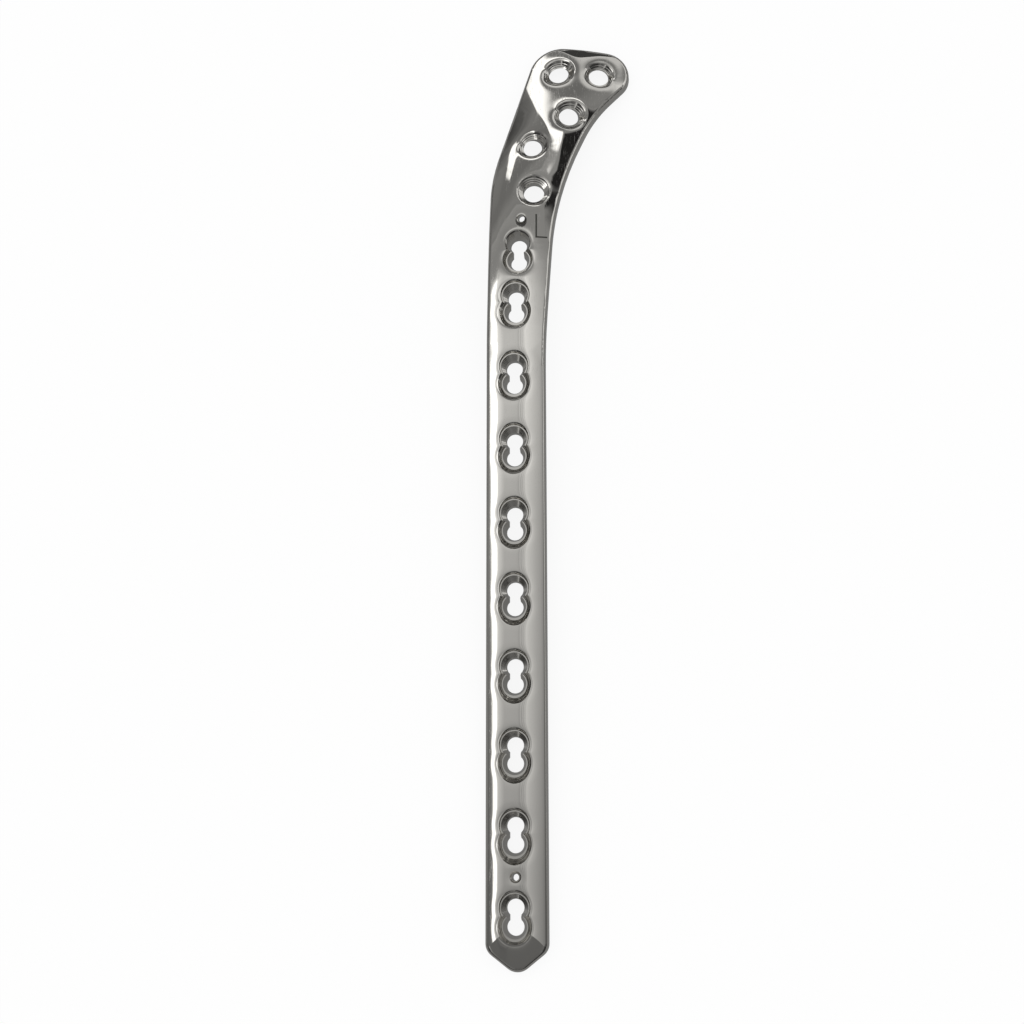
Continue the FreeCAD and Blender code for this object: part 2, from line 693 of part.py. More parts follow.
os.makedirs("parts", exist_ok=True)
plate.Shape.exportStep("parts/bone_plate.step")
box = plate.Shape.optimalBoundingBox(False)
print("tipped by %.3f degrees, moved by %.3f, %.3f, %.3f" % ((math.degrees(tip),) + tuple(shift)))
print("size %.2f x %.2f x %.2f mm" % (box.XLength, box.YLength, box.ZLength))
print("volume %.1f mm3" % plate.Shape.Volume)
for hole, (_, foot, axis) in zip(locking_holes, locks):
    spot, lean = plate.Placement.multVec(foot), rotation.multVec(axis)
    print("%s hole at %.3f %.3f %.3f, axis %.4f %.4f %.4f" % ((hole,) + tuple(spot) + tuple(lean)))
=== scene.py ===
import math
import bpy
import bmesh
import numpy as np
from mathutils import Euler, Matrix, Vector


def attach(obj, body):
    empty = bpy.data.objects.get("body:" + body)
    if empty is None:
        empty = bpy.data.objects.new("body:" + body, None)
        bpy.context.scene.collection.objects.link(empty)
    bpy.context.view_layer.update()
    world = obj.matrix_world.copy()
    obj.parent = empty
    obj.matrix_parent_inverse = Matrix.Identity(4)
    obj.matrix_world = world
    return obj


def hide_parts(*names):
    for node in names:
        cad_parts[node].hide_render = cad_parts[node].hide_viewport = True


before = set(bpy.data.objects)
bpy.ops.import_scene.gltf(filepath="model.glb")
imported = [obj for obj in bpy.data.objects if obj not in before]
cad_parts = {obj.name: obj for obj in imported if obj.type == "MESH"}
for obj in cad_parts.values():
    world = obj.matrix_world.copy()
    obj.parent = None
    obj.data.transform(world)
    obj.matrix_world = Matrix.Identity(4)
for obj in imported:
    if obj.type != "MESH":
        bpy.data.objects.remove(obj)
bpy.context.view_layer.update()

# Visual model of a polished steel bone plate, lying bone side down on a pale floor.
# Lengths in the value dictionaries are in millimetres of the plate's drawing frame: y runs
# along the shaft from the end hole to the head, z up from the bone side, and the middle of
# the end hole is 0.4 left of the origin.
millimetre = 0.001
perMetre = 1000

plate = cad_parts["bone_plate"]

rest = {"tipDegrees": 2.148, "shift": (-10.543, -102.558, 0.582)}
restMatrix = (Matrix.Translation(Vector(rest["shift"]) * millimetre)
              @ Matrix.Rotation(math.radians(rest["tipDegrees"]), 4, "X"))

# The shaft's crowned top: its height along the middle and its radius
crown = {"height": 4.3, "radius": 20}


# Shader helpers

def newGroup(name, inputs, outputs):
    group = bpy.data.node_groups.new(name, "ShaderNodeTree")
    for label, kind, value in inputs:
        socket = group.interface.new_socket(label, in_out="INPUT", socket_type=kind)
        if value is not None:
            socket.default_value = value
    for label, kind in outputs:
        group.interface.new_socket(label, in_out="OUTPUT", socket_type=kind)
    return group, group.nodes.new("NodeGroupInput"), group.nodes.new("NodeGroupOutput")


def link(tree, source, target):
    tree.links.new(source, target)


def math2(tree, operation, first, second=None, third=None, clamp=False):
    node = tree.nodes.new("ShaderNodeMath")
    node.operation = operation
    node.use_clamp = clamp
    for socket, value in zip(node.inputs, (first, second, third)):
        if value is None:
            continue
        if isinstance(value, (int, float)):
            socket.default_value = value
        else:
            link(tree, value, socket)
    return node.outputs[0]


def vectorMath(tree, operation, first, second=None):
    node = tree.nodes.new("ShaderNodeVectorMath")
    node.operation = operation
    for socket, value in zip(node.inputs, (first, second)):
        if value is None:
            continue
        if isinstance(value, (tuple, list)):
            socket.default_value = value
        else:
            link(tree, value, socket)
    return node.outputs["Value"] if operation in ("DISTANCE", "LENGTH") else node.outputs[0]


def split(tree, vector):
    node = tree.nodes.new("ShaderNodeSeparateXYZ")
    link(tree, vector, node.inputs[0])
    return node.outputs


def combine(tree, x, y, z):
    node = tree.nodes.new("ShaderNodeCombineXYZ")
    for socket, value in zip(node.inputs, (x, y, z)):
        if isinstance(value, (int, float)):
            socket.default_value = value
        else:
            link(tree, value, socket)
    return node.outputs[0]


def ramp(tree, value, stops, interpolation="LINEAR"):
    node = tree.nodes.new("ShaderNodeValToRGB")
    node.color_ramp.interpolation = interpolation
    elements = node.color_ramp.elements
    while len(elements) < len(stops):
        elements.new(0.5)
    for element, (place, colour) in zip(elements, stops):
        element.position = place
        element.color = colour if len(colour) == 4 else (*colour, 1)
    link(tree, value, node.inputs[0])
    return node.outputs[0]


def noise(tree, vector, scale, detail=2.0, roughness=0.5):
    node = tree.nodes.new("ShaderNodeTexNoise")
    node.inputs["Scale"].default_value = scale
    node.inputs["Detail"].default_value = detail
    node.inputs["Roughness"].default_value = roughness
    link(tree, vector, node.inputs["Vector"])
    return node.outputs["Fac"]


# Drawing coordinates in millimetres, from Object coordinates
drawing, groupIn, groupOut = newGroup(
    "drawingPlace", [("Vector", "NodeSocketVector", None)], [("Millimetres", "NodeSocketVector")])
turned = drawing.nodes.new("ShaderNodeMapping")
turned.vector_type = "TEXTURE"
turned.inputs["Location"].default_value = Vector(rest["shift"]) * millimetre
turned.inputs["Rotation"].default_value = (math.radians(rest["tipDegrees"]), 0, 0)
link(drawing, groupIn.outputs[0], turned.inputs["Vector"])
link(drawing, vectorMath(drawing, "MULTIPLY", turned.outputs[0], (perMetre,) * 3),
     groupOut.inputs[0])

# Where the holes are: centre and a radius just inside the rim
holes = {
    "pitch": 18, "rowX": -0.4, "rowEnd": 144,
    "upper": (2.5, 3.75), "lower": (-1.85, 4.05), "blend": 0.25,
    "others": [(0.7, 160.0, 3.45), (0.7, 155.5, 3.8), (10.45, 208.6, 4.2),
               (20.85, 207.5, 3.9), (13.45, 195.5, 4.3), (4.2, 187.1, 3.9),
               (4.5, 174.1, 4.15), (-0.15, 9.1, 1.1), (1.5, 166.3, 1.1)],
}

# Polishing rolls the surface down towards each rim
roll, groupIn, groupOut = newGroup(
    "rimRoll", [("Millimetres", "NodeSocketVector", None), ("Width", "NodeSocketFloat", 0.5),
                ("Depth", "NodeSocketFloat", 0.1)],
    [("Height", "NodeSocketFloat"), ("Near", "NodeSocketFloat")])
across, along, _ = split(roll, groupIn.outputs["Millimetres"])
width = groupIn.outputs["Width"]


def nearRim(x, y, centre, radius):
    spot = combine(roll, x, y, 0)
    away = vectorMath(roll, "DISTANCE", spot, (*centre, 0))
    gap = math2(roll, "MAXIMUM", math2(roll, "SUBTRACT", away, radius), 0.0)
    return math2(roll, "EXPONENT", math2(roll, "DIVIDE", math2(roll, "MULTIPLY", gap, -1.0),
                                         width))


half = holes["pitch"] / 2
turnsOfRow = math2(roll, "MODULO", math2(roll, "ADD", along, half + 10 * holes["pitch"]),
                   holes["pitch"])
localAlong = math2(roll, "SUBTRACT", turnsOfRow, half)
onRow = math2(roll, "LESS_THAN", along, holes["rowEnd"] + 0.45 * holes["pitch"])
total = None
for offset, radius in (holes["upper"], holes["lower"]):
    term = math2(roll, "MULTIPLY", onRow,
                 nearRim(across, localAlong, (holes["rowX"], offset), radius))
    total = term if total is None else math2(roll, "SMOOTH_MAX", total, term, holes["blend"])
for x, y, radius in holes["others"]:
    total = math2(roll, "SMOOTH_MAX", total, nearRim(across, along, (x, y), radius),
                  holes["blend"])
total = math2(roll, "MINIMUM", total, 1.0)
link(roll, total, groupOut.inputs["Near"])
link(roll, math2(roll, "MULTIPLY", math2(roll, "MULTIPLY", total, -1.0),
                 groupIn.outputs["Depth"]), groupOut.inputs["Height"])

# Slow waves that hand polishing leaves, longer along the plate than across it
waveValues = {"stretch": (0.16, 0.05, 0.1), "scale": 1.0, "detail": 2.0, "roughness": 0.4}
waves, groupIn, groupOut = newGroup(
    "polishWaves", [("Millimetres", "NodeSocketVector", None),
                    ("Height", "NodeSocketFloat", 0.01)], [("Height", "NodeSocketFloat")])
stretched = vectorMath(waves, "MULTIPLY", groupIn.outputs["Millimetres"],
                       waveValues["stretch"])
slow = noise(waves, stretched, waveValues["scale"], waveValues["detail"],
             waveValues["roughness"])
link(waves, math2(waves, "MULTIPLY", slow, groupIn.outputs["Height"]), groupOut.inputs[0])

# Fine scratches: narrow bands of stretched noise in a few directions. Each direction has a
# turn in degrees, the noise's scale on each axis and the limit that cuts the bands out
scratchValues = [(4, (7, 0.22, 1), 0.69), (-9, (5, 0.3, 1), 0.71), (62, (6, 0.5, 1), 0.74)]
scratches, groupIn, groupOut = newGroup(
    "fineScratches", [("Millimetres", "NodeSocketVector", None)], [("Mask", "NodeSocketFloat")])
marks = None
for turn, size, limit in scratchValues:
    mapping = scratches.nodes.new("ShaderNodeMapping")
    mapping.inputs["Rotation"].default_value = (0, 0, math.radians(turn))
    mapping.inputs["Scale"].default_value = size
    link(scratches, groupIn.outputs[0], mapping.inputs["Vector"])
    fine = noise(scratches, mapping.outputs[0], 1.0, 1.0, 0.4)
    band = math2(scratches, "GREATER_THAN", fine, limit)
    marks = band if marks is None else math2(scratches, "MAXIMUM", marks, band)
link(scratches, marks, groupOut.inputs[0])

# Hand-ground leans of the head's surface: masks times a lean across and along
leans = {
    # the steeper outer slope ends at this line: y and x along it
    "crease": [(180, 7.5), (187.5, 8.4), (192.2, 7.9), (197.2, 5.1), (202, 3.2), (210, 0)],
    "creaseSoft": 1.2, "creaseLean": [(180, 0), (187, 0.04), (191, 0.15), (197, 0.15),
                                      (203, 0.13), (210, 0.12)],
    # a shallow hollow down the outer slope: its middle line, half width and lean
    "hollow": [(172, -3.2), (176, -2.4), (183.2, -1.0), (190.5, 0.2), (196, 1.0)],
    "hollowHalf": 1.1, "hollowSoft": 1.2,
    "hollowLean": [(172, 0), (176, 0.24), (180, 0.21), (186.5, 0.13), (189.8, 0), (195, 0)],
    # the inner edge falls away past this line
    "fallLine": [(180, 9.4), (185, 10.6), (189, 11.3), (196, 12.4)], "fallSoft": 1.0,
    "fallLean": [(179, 0), (184, 0.05), (188, 0.14), (191, 0.14), (196, 0)], "fallShare": -0.25,
    # the rounded far end: a line across, where the band inside it starts and stops
    "endLine": (5.1, 217.6, -0.184),
    "endFrom": [(4, 1.1), (10, 0.9), (16, 0.6), (22, 0.3), (30, 0.2)],
    "endWidth": [(4, 0.4), (9, 0.8), (12, 1.7), (14.5, 3.1), (17, 3.0), (21, 1.6), (27, 1.2),
                 (30, 0.9)],
    "endSoft": 0.35, "endLean": (0.0, 0.31),
}
ground, groupIn, groupOut = newGroup(
    "groundLean", [("Millimetres", "NodeSocketVector", None)], [("Lean", "NodeSocketVector")])
across, along, _ = split(ground, groupIn.outputs[0])


# A smoothed curve near stops of place and value
def lookUp(tree, value, stops):
    low, high = stops[0][0], stops[-1][0]
    least = min(number for _, number in stops)
    most = max(number for _, number in stops)
    share = math2(tree, "DIVIDE", math2(tree, "SUBTRACT", value, float(low)), float(high - low))
    places = [((place - low) / (high - low), ((number - least) / (most - least),) * 3)
              for place, number in stops]
    return math2(tree, "MULTIPLY_ADD", ramp(tree, share, places, "B_SPLINE"),
                 float(most - least), float(least))


def smoothStep(tree, value, low, soft):
    node = tree.nodes.new("ShaderNodeMapRange")
    node.interpolation_type = "SMOOTHSTEP"
    node.inputs["From Min"].default_value = low
    node.inputs["From Max"].default_value = low + soft
    link(tree, value, node.inputs["Value"])
    return node.outputs["Result"]


inside = math2(ground, "SUBTRACT", lookUp(ground, along, leans["crease"]), across)
slopeMask = smoothStep(ground, inside, -leans["creaseSoft"] / 2, leans["creaseSoft"])
slopeMask = math2(ground, "MULTIPLY", slopeMask, lookUp(ground, along, leans["creaseLean"]))
aside = math2(ground, "ABSOLUTE", math2(ground, "SUBTRACT", across,
                                        lookUp(ground, along, leans["hollow"])))
hollowMask = math2(ground, "SUBTRACT", 1.0,
                   smoothStep(ground, aside, leans["hollowHalf"] - leans["hollowSoft"] / 2,
                              leans["hollowSoft"]))
hollowMask = math2(ground, "MULTIPLY", hollowMask, lookUp(ground, along, leans["hollowLean"]))
past = math2(ground, "SUBTRACT", across, lookUp(ground, along, leans["fallLine"]))
fallMask = math2(ground, "MULTIPLY", smoothStep(ground, past, 0, leans["fallSoft"]),
                 lookUp(ground, along, leans["fallLean"]))
x, y, slant = leans["endLine"]
edge = math2(ground, "MULTIPLY_ADD", math2(ground, "SUBTRACT", across, float(x)), slant, float(y))
depth = math2(ground, "SUBTRACT", edge, along)
endMask = smoothStep(ground, math2(ground, "SUBTRACT", lookUp(ground, across, leans["endWidth"]),
                                   depth), 0, leans["endSoft"])
deeper = math2(ground, "SUBTRACT", depth, lookUp(ground, across, leans["endFrom"]))
endMask = math2(ground, "MULTIPLY", endMask, smoothStep(ground, deeper, 0, leans["endSoft"]))
lean = None
for mask, (leanX, leanY) in ((slopeMask, (-1.0, 0.0)), (hollowMask, (1.0, 0.0)),
                             (fallMask, (1.0, leans["fallShare"])), (endMask, leans["endLean"])):
    vector = combine(ground, math2(ground, "MULTIPLY", mask, leanX),
                     math2(ground, "MULTIPLY", mask, leanY), 0)
    lean = vector if lean is None else vectorMath(ground, "ADD", lean, vector)
link(ground, lean, groupOut.inputs[0])

# Turning marks in the shaft's holes, below the top surface
ringValues = {"deeperThan": 0.35, "halfWidth": 4.6, "until": 165.0}
rings, groupIn, groupOut = newGroup(
    "turningRings", [("Millimetres", "NodeSocketVector", None), ("Pitch", "NodeSocketFloat", 0.4)],
    [("Height", "NodeSocketFloat")])
across, along, up = split(rings, groupIn.outputs["Millimetres"])
wave = math2(rings, "SINE", math2(rings, "DIVIDE", math2(rings, "MULTIPLY", up, 2 * math.pi),
                                  groupIn.outputs["Pitch"]))
top = math2(rings, "SUBTRACT", crown["height"], math2(rings, "DIVIDE", math2(
    rings, "MULTIPLY", across, across), 2.0 * crown["radius"]))
below = math2(rings, "GREATER_THAN", math2(rings, "SUBTRACT", top, up), ringValues["deeperThan"])
nearRow = math2(rings, "LESS_THAN", math2(rings, "ABSOLUTE", across), ringValues["halfWidth"])
onShaft = math2(rings, "LESS_THAN", along, ringValues["until"])
share = math2(rings, "MULTIPLY", math2(rings, "MULTIPLY", below, nearRow), onShaft)
link(rings, math2(rings, "MULTIPLY", wave, share), groupOut.inputs[0])

# Side mark: an upright stroke and a foot
sideMark = {"stroke": (5.15, 161.3, 167.5), "foot": (5.15, 7.8, 161.45), "halfWidth": 0.19,
            "above": 1.0}
letter, groupIn, groupOut = newGroup(
    "sideMark", [("Millimetres", "NodeSocketVector", None)], [("Mask", "NodeSocketFloat")])
across, along, up = split(letter, groupIn.outputs[0])


def band(value, low, high):
    above = math2(letter, "GREATER_THAN", value, low)
    below = math2(letter, "LESS_THAN", value, high)
    return math2(letter, "MULTIPLY", above, below)


x, low, high = sideMark["stroke"]
wide = sideMark["halfWidth"]
stroke = math2(letter, "MULTIPLY", band(across, x - wide, x + wide), band(along, low, high))
left, right, y = sideMark["foot"]
foot = math2(letter, "MULTIPLY", band(across, left - wide, right), band(along, y - wide, y + wide))
onTop = math2(letter, "GREATER_THAN", up, sideMark["above"])
link(letter, math2(letter, "MULTIPLY", onTop, math2(letter, "MAXIMUM", stroke, foot)),
     groupOut.inputs[0])


def useGroup(tree, group, **values):
    node = tree.nodes.new("ShaderNodeGroup")
    node.node_tree = group
    for label, value in values.items():
        if isinstance(value, (int, float)):
            node.inputs[label].default_value = value
        else:
            link(tree, value, node.inputs[label])
    return node


# Polished implant steel
steelValues = {
    "colour": (0.64, 0.625, 0.59), "markColour": (0.1, 0.1, 0.09), "markDepth": 0.05,
    "rollWidth": 0.9, "rollDepth": 0.06, "lipPower": 5, "lipDepth": 0.03, "waveHeight": 0.02,
    "ringPitch": 0.42, "ringHeight": 0.006, "insideRims": 0.995,
    "roughness": 0.02, "cloudScale": 0.35, "cloudDetail": 3.0, "cloudRoughness": 0.05,
    "scratchRoughness": 0.1, "markRoughness": 0.4,
}


def steelMaterial():
    material = bpy.data.materials.new("polishedSteel")
    material.use_nodes = True
    tree = material.node_tree
    shader = tree.nodes["Principled BSDF"]
    shader.inputs["Metallic"].default_value = 1.0
    place = tree.nodes.new("ShaderNodeTexCoord").outputs["Object"]
    spot = useGroup(tree, drawing, Vector=place).outputs[0]
    rim = useGroup(tree, roll, Millimetres=spot, Width=steelValues["rollWidth"],
                   Depth=steelValues["rollDepth"])
    wave = useGroup(tree, waves, Millimetres=spot, Height=steelValues["waveHeight"])
    scratch = useGroup(tree, scratches, Millimetres=spot).outputs[0]
    mark = useGroup(tree, letter, Millimetres=spot).outputs[0]

    height = math2(tree, "ADD", rim.outputs["Height"], wave.outputs["Height"])
    lip = math2(tree, "POWER", rim.outputs["Near"], float(steelValues["lipPower"]))
    height = math2(tree, "MULTIPLY_ADD", lip, -steelValues["lipDepth"], height)
    ring = useGroup(tree, rings, Millimetres=spot, Pitch=steelValues["ringPitch"]).outputs[0]
    inHole = math2(tree, "GREATER_THAN", rim.outputs["Near"], steelValues["insideRims"])
    ring = math2(tree, "MULTIPLY", ring, inHole)
    height = math2(tree, "MULTIPLY_ADD", ring, steelValues["ringHeight"], height)
    height = math2(tree, "SUBTRACT", height, math2(tree, "MULTIPLY", mark,
                                                   steelValues["markDepth"]))
    bump = tree.nodes.new("ShaderNodeBump")
    bump.inputs["Strength"].default_value = 1.0
    bump.inputs["Distance"].default_value = millimetre
    link(tree, height, bump.inputs["Height"])
    turn = useGroup(tree, ground, Millimetres=spot).outputs[0]
    leaned = vectorMath(tree, "NORMALIZE", vectorMath(tree, "ADD", bump.outputs[0], turn))
    link(tree, leaned, shader.inputs["Normal"])

    rough = steelValues["roughness"]
    cloud = noise(tree, spot, steelValues["cloudScale"], steelValues["cloudDetail"])
    for mask, label in ((cloud, "cloudRoughness"), (scratch, "scratchRoughness"),
                        (mark, "markRoughness")):
        rough = math2(tree, "MULTIPLY_ADD", mask, steelValues[label], rough)
    link(tree, rough, shader.inputs["Roughness"])

    tint = tree.nodes.new("ShaderNodeMix")
    tint.data_type = "RGBA"
    tint.inputs["A"].default_value = (*steelValues["colour"], 1)
    tint.inputs["B"].default_value = (*steelValues["markColour"], 1)
    link(tree, mark, tint.inputs["Factor"])
    link(tree, tint.outputs["Result"], shader.inputs["Base Color"])
    return material


print("materials")
steel = steelMaterial()

# Skin: the solid's own triangles, joined, with exact shading normals on the top surface.
# The top's height is a smooth surface laid through the solid's vertices
skinValues = {
    "headFrom": 128, "sheetPast": 2, "pointsBefore": 8, "spacing": 0.7, "slopeStep": 0.02,
    "topArea": 150, "topFlatness": 0.85, "facingUp": 0.6, "onSurface": 0.02,
    "sharpDegrees": 12, "joinedUnder": 2e-6,
}


# Gives each triangle the number of the smooth face that it belongs to
def islandsOf(corners, normals):
    keys = {}
    parent = list(range(len(corners) // 3))

    def root(i):
        while parent[i] != i:
            parent[i] = parent[parent[i]]
            i = parent[i]
        return i

    rounded = np.round(np.hstack((corners * perMetre, normals * 100))).astype(int)
    for i, key in enumerate(map(tuple, rounded)):
        other = keys.setdefault(key, i // 3)
        parent[root(i // 3)] = root(other)
    return np.array([root(i) for i in range(len(parent))])


def kernel(gaps):
    return gaps ** 2 * np.log(np.maximum(gaps, 1e-9))


# The plate's top is a crowned shaft and, past its end, a smooth sheet through points. Gives
# two functions: the height at places and the upward normal there
def layTop(points):
    centres = points[:, :2]
    count = len(points)
    flat = np.hstack((np.ones((count, 1)), centres))
    gaps = np.linalg.norm(centres[:, None] - centres[None], axis=2)
    system = np.zeros((count + 3, count + 3))
    system[:count, :count] = kernel(gaps)
    system[:count, count:] = flat
    system[count:, :count] = flat.T
    weights = np.linalg.solve(system, np.append(points[:, 2], (0, 0, 0)))

    def sheet(places):
        gaps = np.linalg.norm(places[:, None] - centres[None], axis=2)
        flat = np.hstack((np.ones((len(places), 1)), places))
        return kernel(gaps) @ weights[:-3] + flat @ weights[-3:]

    def height(places):
        radius = crown["radius"]
        heights = (crown["height"] - radius
                   + np.sqrt(np.maximum(radius ** 2 - places[:, 0] ** 2, 1)))
        head = places[:, 1] > skinValues["headFrom"] + skinValues["sheetPast"]
        if head.any():
            heights[head] = sheet(places[head])
        return heights

    def normal(places):
        step = skinValues["slopeStep"]
        slopes = [(height(places + offset) - height(places - offset)) / (2 * step)
                  for offset in (np.array((step, 0)), np.array((0, step)))]
        normals = np.stack((-slopes[0], -slopes[1], np.ones(len(places))), 1)
        return normals / np.linalg.norm(normals, axis=1)[:, None]

    return height, normal


# Points at least one spacing apart
def thinned(points, spacing):
    kept, cells = [], {}
    for point in points:
        cell = tuple(np.floor(point[:2] / spacing).astype(int))
        near = [q for i in (-1, 0, 1) for j in (-1, 0, 1)
                for q in cells.get((cell[0] + i, cell[1] + j), ())]
        if all(np.linalg.norm(point[:2] - q) >= spacing for q in near):
            cells.setdefault(cell, []).append(point[:2])
            kept.append(point)
    return np.array(kept)


def plateSkin():
    source = plate.data
    count = len(source.loops)
    corners = np.empty(count, dtype=np.int32)
    source.loops.foreach_get("vertex_index", corners)
    places = np.empty(len(source.vertices) * 3, dtype=np.float32)
    source.vertices.foreach_get("co", places)
    shading = np.empty(count * 3, dtype=np.float32)
    source.corner_normals.foreach_get("vector", shading)
    toDrawing = np.array(restMatrix.inverted())
    corners = places.reshape(-1, 3)[corners] @ toDrawing[:3, :3].T + toDrawing[:3, 3]
    corners = corners.astype(float) * perMetre
    normals = shading.reshape(-1, 3).astype(float) @ toDrawing[:3, :3].T

    triangles = corners.reshape(-1, 3, 3)
    cross = np.cross(triangles[:, 1] - triangles[:, 0], triangles[:, 2] - triangles[:, 0]) / 2
    area = np.linalg.norm(cross, axis=1)
    face = islandsOf(corners, normals)
    top = np.zeros(len(area), dtype=bool)
    for number in np.unique(face):
        inside = face == number
        if area[inside].sum() > skinValues["topArea"] and (
                cross[inside, 2].sum() > skinValues["topFlatness"] * area[inside].sum()):
            top |= inside
    points = corners[np.repeat(top, 3)]
    points = points[points[:, 1] > skinValues["headFrom"] - skinValues["pointsBefore"]]
    points = thinned(np.unique(np.round(points, 4), axis=0), skinValues["spacing"])
    print("top surface laid through", len(points), "points")
    height, normal = layTop(points)

    chosen = np.abs(height(corners[:, :2]) - corners[:, 2]) < skinValues["onSurface"]
    chosen &= normals[:, 2] > skinValues["facingUp"]
    smooth = normals.copy()
    smooth[chosen] = normal(corners[chosen, :2])
    close = (smooth * normals).sum(1) > math.cos(math.radians(skinValues["sharpDegrees"]))
    close |= np.repeat(top, 3)
    smooth[~close] = normals[~close]
    print("exact normals at", int((chosen & close).sum()), "of", count, "corners")
    smooth = smooth @ np.array(restMatrix)[:3, :3].T

    work = bmesh.new()
    work.from_mesh(source)
    layer = work.loops.layers.float_vector.new("polishNormal")
    spot = 0
    for triangle in work.faces:
        triangle.smooth = True
        for loop in triangle.loops:
            loop[layer] = smooth[spot]
            spot += 1
    bmesh.ops.remove_doubles(work, verts=work.verts[:], dist=skinValues["joinedUnder"])
    mesh = bpy.data.meshes.new("plateSkin")
    work.to_mesh(mesh)
    work.free()
    kept = np.empty(len(mesh.loops) * 3, dtype=np.float32)
    mesh.attributes["polishNormal"].data.foreach_get("vector", kept)
    mesh.normals_split_custom_set(kept.reshape(-1, 3).tolist())
    mesh.attributes.remove(mesh.attributes["polishNormal"])
    mesh.materials.clear()
    mesh.materials.append(steel)
    skin = bpy.data.objects.new("plateSkin", mesh)
    bpy.context.scene.collection.objects.link(skin)
    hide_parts("bone_plate")
    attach(skin, "root")
    return height, normal


print("skin")
topHeight, topNormal = plateSkin()

# Threads: fine ridges round the conical walls of the locking holes
threadValues = {
    "pitch": 0.42, "height": 0.13, "foot": 0.14, "sunk": 0.08, "steps": 48,
    "headHoles": [(10.45, 208.6, 4.15), (20.85, 207.5, 3.85), (13.45, 195.5, 4.25),
                  (4.2, 187.1, 3.85), (4.5, 174.1, 4.1)],
    "headCore": 2.55, "headDepth": 1.9, "headFrom": 0.75, "headRings": 3,
    "lobeY": 2.5, "lobeTop": (3.55, 3.05), "lobeLow": (0.9, 1.95), "lobeFrom": 0.3,
    "lobeRings": 5, "lobeSweep": 236, "lobeHoles": 8, "lastX": 0,
}


# A three-sided ridge round an axis. It stands inwards from the wall's radius
def addRidge(work, centre, axis, radius, inward, sweep=360):
    out = axis.orthogonal().normalized() if abs(axis.z) < 0.999 else Vector((0, 1, 0))
    if sweep < 360:
        out = Matrix.Rotation(math.radians(-sweep / 2), 3, axis) @ out
    sizes = threadValues
    corners = ((radius + sizes["sunk"] + inward * sizes["foot"], sizes["foot"]),
               (radius - sizes["height"], 0),
               (radius + sizes["sunk"] - inward * sizes["foot"], -sizes["foot"]))
    points = [work.verts.new((centre + out * away + axis * up) * millimetre)
              for away, up in corners]
    edges = [work.edges.new((points[i - 1], points[i])) for i in range(3)]
    bmesh.ops.spin(work, geom=points + edges, cent=centre * millimetre, axis=axis,
                   dvec=(0, 0, 0), angle=math.radians(sweep), steps=sizes["steps"],
                   use_merge=sweep == 360, use_duplicate=False)


def threadPiece(name, build):
    work = bmesh.new()
    build(work)
    bmesh.ops.remove_doubles(work, verts=work.verts[:], dist=1e-6)
    bmesh.ops.holes_fill(work, edges=[e for e in work.edges if e.is_boundary], sides=4)
    bmesh.ops.transform(work, matrix=restMatrix, verts=work.verts[:])
    bmesh.ops.recalc_face_normals(work, faces=work.faces[:])
    mesh = bpy.data.meshes.new(name)
    work.to_mesh(mesh)
    work.free()
    mesh.materials.append(steel)
    piece = bpy.data.objects.new(name, mesh)
    bpy.context.scene.collection.objects.link(piece)
    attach(piece, "root")


def headRidges(work):
    sizes = threadValues
    for x, y, mouth in sizes["headHoles"]:
        place = np.array([[float(x), float(y)]])
        foot = Vector((x, y, float(topHeight(place)[0])))
        axis = Vector(topNormal(place)[0])
        slope = (mouth - sizes["headCore"]) / sizes["headDepth"]
        for i in range(sizes["headRings"]):
            depth = sizes["headFrom"] + i * sizes["pitch"]
            addRidge(work, foot - axis * depth, axis, mouth - slope * depth, slope)


def shaftRidges(work):
    sizes = threadValues
    topZ, topRadius = sizes["lobeTop"]
    lowZ, lowRadius = sizes["lobeLow"]
    slope = (topRadius - lowRadius) / (topZ - lowZ)
    for hole in range(sizes["lobeHoles"] + 1):
        x = holes["rowX"] if hole < sizes["lobeHoles"] else sizes["lastX"]
        for i in range(sizes["lobeRings"]):
            z = topZ - sizes["lobeFrom"] - i * sizes["pitch"]
            centre = Vector((x, hole * holes["pitch"] + sizes["lobeY"], z))
            addRidge(work, centre, Vector((0, 0, 1)), topRadius - slope * (topZ - z), slope,
                     sizes["lobeSweep"])


print("threads")
threadPiece("headThreads", headRidges)
threadPiece("shaftThreads", shaftRidges)

# Floor
print("stage")
floorValues = {"halfSize": 3.0, "colour": (0.93, 0.93, 0.93), "roughness": 0.9,
               "cameraGlow": 0.88, "mirrorShare": 0.9, "mirrorGlow": 0.2}
floorMesh = bpy.data.meshes.new("floor")
work = bmesh.new()
bmesh.ops.create_grid(work, x_segments=1, y_segments=1, size=floorValues["halfSize"])
work.to_mesh(floorMesh)
work.free()
floor = bpy.data.objects.new("floor", floorMesh)
bpy.context.scene.collection.objects.link(floor)
paint = bpy.data.materials.new("floorPaint")
paint.use_nodes = True
paint.node_tree.nodes["Principled BSDF"].inputs["Base Color"].default_value = (
    *floorValues["colour"], 1)
paint.node_tree.nodes["Principled BSDF"].inputs["Roughness"].default_value = (
    floorValues["roughness"])
tree = paint.node_tree
glow = tree.nodes.new("ShaderNodeEmission")
mix = tree.nodes.new("ShaderNodeMixShader")
seen = tree.nodes.new("ShaderNodeLightPath").outputs["Is Camera Ray"]
mirrored = tree.nodes["Light Path"].outputs["Is Glossy Ray"]
share = math2(tree, "MULTIPLY", seen, floorValues["cameraGlow"])
link(tree, math2(tree, "MAXIMUM", share, math2(tree, "MULTIPLY", mirrored,
                                               floorValues["mirrorShare"])), mix.inputs[0])
link(tree, math2(tree, "SUBTRACT", 1.0, math2(tree, "MULTIPLY", mirrored,
                                              1 - floorValues["mirrorGlow"])),
     glow.inputs["Strength"])
